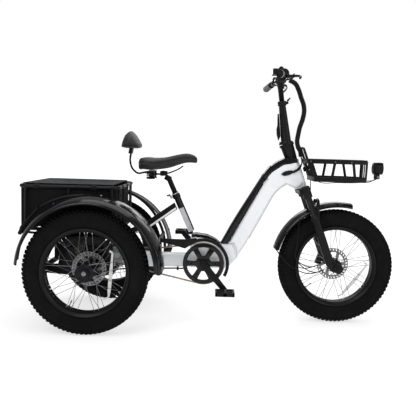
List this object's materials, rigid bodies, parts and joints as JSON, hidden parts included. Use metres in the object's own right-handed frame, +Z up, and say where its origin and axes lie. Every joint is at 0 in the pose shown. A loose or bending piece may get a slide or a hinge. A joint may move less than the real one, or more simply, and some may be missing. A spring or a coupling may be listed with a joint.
{
  "type": "adult electric tricycle",
  "caption": "Adult fat-tyre electric tricycle with a step-through frame, folding stem, suspension fork, rear cargo basket with a lidded bag, and a small front basket.",
  "frame": {"origin": "on the ground, in the middle of the overall footprint", "axes": "+X forward, +Y to the rider's left, +Z up"},
  "size_m": [1.87, 0.804, 1.2998],
  "materials": {
    "white_paint": "gloss cool white",
    "black_paint": "satin black",
    "black_plastic": "moulded matte black",
    "grip_rubber": "matte grey",
    "tyre": "matte charcoal rubber",
    "saddle_cover": "fine-grain black cover",
    "bag_fabric": "coated woven black",
    "lid_fabric": "coated woven dark grey",
    "steel": "brushed",
    "dark_alloy": "black anodised"
  },
  "bodies": {
    "frame": {"down_tube": "white_paint", "battery_cover": "black_paint", "battery_pack": "black_plastic", "lower_frame": "white_paint", "seat_tube": "white_paint", "upper_stay": "black_paint", "axle_carrier": "black_paint", "controller_box": "dark_alloy", "fender_frame": "black_paint", "rear_basket": "black_paint", "cargo_bag": "bag_fabric", "right_fender": "black_paint", "left_fender": "black_paint", "chain_guard": "black_plastic", "front_basket": "black_paint", "drive_chain": "steel", "right_caliper": "black_paint", "left_caliper": "black_paint", "harness_lower": "black_plastic"},
    "seat": {"seatpost": "black_paint", "saddle": "saddle_cover", "saddle_rails": "black_paint", "backrest_pad": "saddle_cover"},
    "seat_lever": {"seat_lever": "dark_alloy"},
    "bag_lid": {"bag_lid": "lid_fabric"},
    "headlight": {"headlight": "black_plastic"},
    "crank": {"chainring": "black_paint", "right_crank": "black_paint", "left_crank": "black_paint"},
    "right_pedal": {"right_pedal": "black_plastic"},
    "left_pedal": {"left_pedal": "black_plastic"},
    "cassette": {"cassette": "steel"},
    "drive_motor": {"drive_motor": "dark_alloy"},
    "differential": {"differential": "dark_alloy"},
    "right_wheel": {"right_tyre": "tyre", "right_wheel": "black_paint", "right_rotor": "steel"},
    "left_wheel": {"left_tyre": "tyre", "left_wheel": "black_paint", "left_rotor": "steel"},
    "front_wheel": {"front_tyre": "tyre", "front_wheel": "black_paint", "front_rotor": "steel"},
    "steering": {"fork_crown": "black_paint", "stem_base": "black_paint"},
    "fork_slider": {"fork_lowers": "black_paint", "front_fender": "black_paint", "front_caliper": "black_paint"},
    "stem": {"stem_post": "black_paint", "harness_middle": "black_plastic"},
    "fold_latch": {"fold_latch": "dark_alloy"},
    "stem_lever": {"stem_lever": "dark_alloy"},
    "handlebar": {"handlebar": "black_paint", "right_grip": "grip_rubber", "left_grip": "grip_rubber", "display": "black_plastic", "harness_upper": "black_plastic"},
    "right_brake_lever": {"right_brake_lever": "dark_alloy"},
    "left_brake_lever": {"left_brake_lever": "dark_alloy"},
    "throttle": {"throttle": "black_plastic"}
  },
  "joints": [
    {"name": "steering_turn", "type": "hinge", "parent": "frame", "child": "steering", "pos_m": [0.448, 0, 0.695], "axis": [-0.351, 0, 0.9364], "range_deg": [-40, 40], "deforming": ["harness_lower"]},
    {"name": "fork_travel", "type": "slide", "parent": "steering", "child": "fork_slider", "axis": [-0.351, 0, 0.9364], "range_m": [0, 0.05], "stiffness_N_per_m": 20000, "springref_m": -0.015},
    {"name": "front_wheel_spin", "type": "hinge", "parent": "fork_slider", "child": "front_wheel", "pos_m": [0.64, 0, 0.295], "axis": [0, 1, 0], "continuous": true},
    {"name": "right_wheel_spin", "type": "hinge", "parent": "frame", "child": "right_wheel", "pos_m": [-0.586, -0.335, 0.295], "axis": [0, 1, 0], "continuous": true},
    {"name": "left_wheel_spin", "type": "hinge", "parent": "frame", "child": "left_wheel", "pos_m": [-0.586, 0.335, 0.295], "axis": [0, 1, 0], "continuous": true},
    {"name": "crank_spin", "type": "hinge", "parent": "frame", "child": "crank", "pos_m": [-0.043, 0, 0.3], "axis": [0, 1, 0], "continuous": true},
    {"name": "right_pedal_spin", "type": "hinge", "parent": "crank", "child": "right_pedal", "pos_m": [0.06853, -0.16, 0.1717], "axis": [0, 1, 0], "continuous": true},
    {"name": "left_pedal_spin", "type": "hinge", "parent": "crank", "child": "left_pedal", "pos_m": [-0.15453, 0.16, 0.4283], "axis": [0, 1, 0], "continuous": true},
    {"name": "cassette_spin", "type": "hinge", "parent": "frame", "child": "cassette", "pos_m": [-0.704, 0, 0.372], "axis": [0, 1, 0], "continuous": true},
    {"name": "motor_spin", "type": "hinge", "parent": "frame", "child": "drive_motor", "pos_m": [-0.704, 0, 0.372], "axis": [0, 1, 0], "continuous": true},
    {"name": "differential_spin", "type": "hinge", "parent": "frame", "child": "differential", "pos_m": [-0.586, 0, 0.295], "axis": [0, 1, 0], "continuous": true},
    {"name": "stem_fold", "type": "hinge", "parent": "steering", "child": "stem", "pos_m": [0.3642, 0.0385, 0.9184], "axis": [-0.9364, 0, -0.351], "range_deg": [0, 90], "deforming": ["harness_middle"]},
    {"name": "fold_latch_swing", "type": "hinge", "parent": "stem", "child": "fold_latch", "pos_m": [0.3194, 0, 0.9468], "axis": [0, -1, 0], "range_deg": [0, 100]},
    {"name": "riser_slide", "type": "slide", "parent": "stem", "child": "handlebar", "axis": [-0.1461, 0, 0.9893], "range_m": [-0.035, 0.06], "deforming": ["harness_upper"]},
    {"name": "stem_lever_swing", "type": "hinge", "parent": "stem", "child": "stem_lever", "pos_m": [0.3643, 0, 1.1364], "axis": [-0.1461, 0, 0.9893], "range_deg": [0, 120]},
    {"name": "right_brake_squeeze", "type": "hinge", "parent": "handlebar", "child": "right_brake_lever", "pos_m": [0.34, -0.176, 1.236], "axis": [0, 0, -1], "range_deg": [0, 18], "stiffness_Nm_per_rad": 1.5, "springref_deg": -14.32},
    {"name": "left_brake_squeeze", "type": "hinge", "parent": "handlebar", "child": "left_brake_lever", "pos_m": [0.34, 0.176, 1.236], "axis": [0, 0, 1], "range_deg": [0, 18], "stiffness_Nm_per_rad": 1.5, "springref_deg": -14.32},
    {"name": "throttle_push", "type": "hinge", "parent": "handlebar", "child": "throttle", "pos_m": [0.3036, -0.193, 1.2398], "axis": [-0.1421, -0.9886, -0.0494], "range_deg": [0, 30], "stiffness_Nm_per_rad": 0.3, "springref_deg": -17.19},
    {"name": "seat_height", "type": "slide", "parent": "frame", "child": "seat", "axis": [-0.4147, 0, 0.91], "range_m": [-0.07, 0.06]},
    {"name": "seat_lever_swing", "type": "hinge", "parent": "frame", "child": "seat_lever", "pos_m": [-0.2282, 0, 0.6344], "axis": [0.4147, 0, -0.91], "range_deg": [0, 120]},
    {"name": "bag_lid_hinge", "type": "hinge", "parent": "frame", "child": "bag_lid", "pos_m": [-0.697, 0.232, 0.692], "axis": [-1, 0, 0], "range_deg": [0, 90]},
    {"name": "headlight_tilt", "type": "hinge", "parent": "frame", "child": "headlight", "pos_m": [0.835, 0, 0.762], "axis": [0, 1, 0], "range_deg": [-15, 20]}
  ],
  "couplings": [
    {"joint": "cassette_spin", "follows": "crank_spin", "ratio": 3.25},
    {"joint": "differential_spin", "follows": "motor_spin", "ratio": 0.46154}
  ]
}
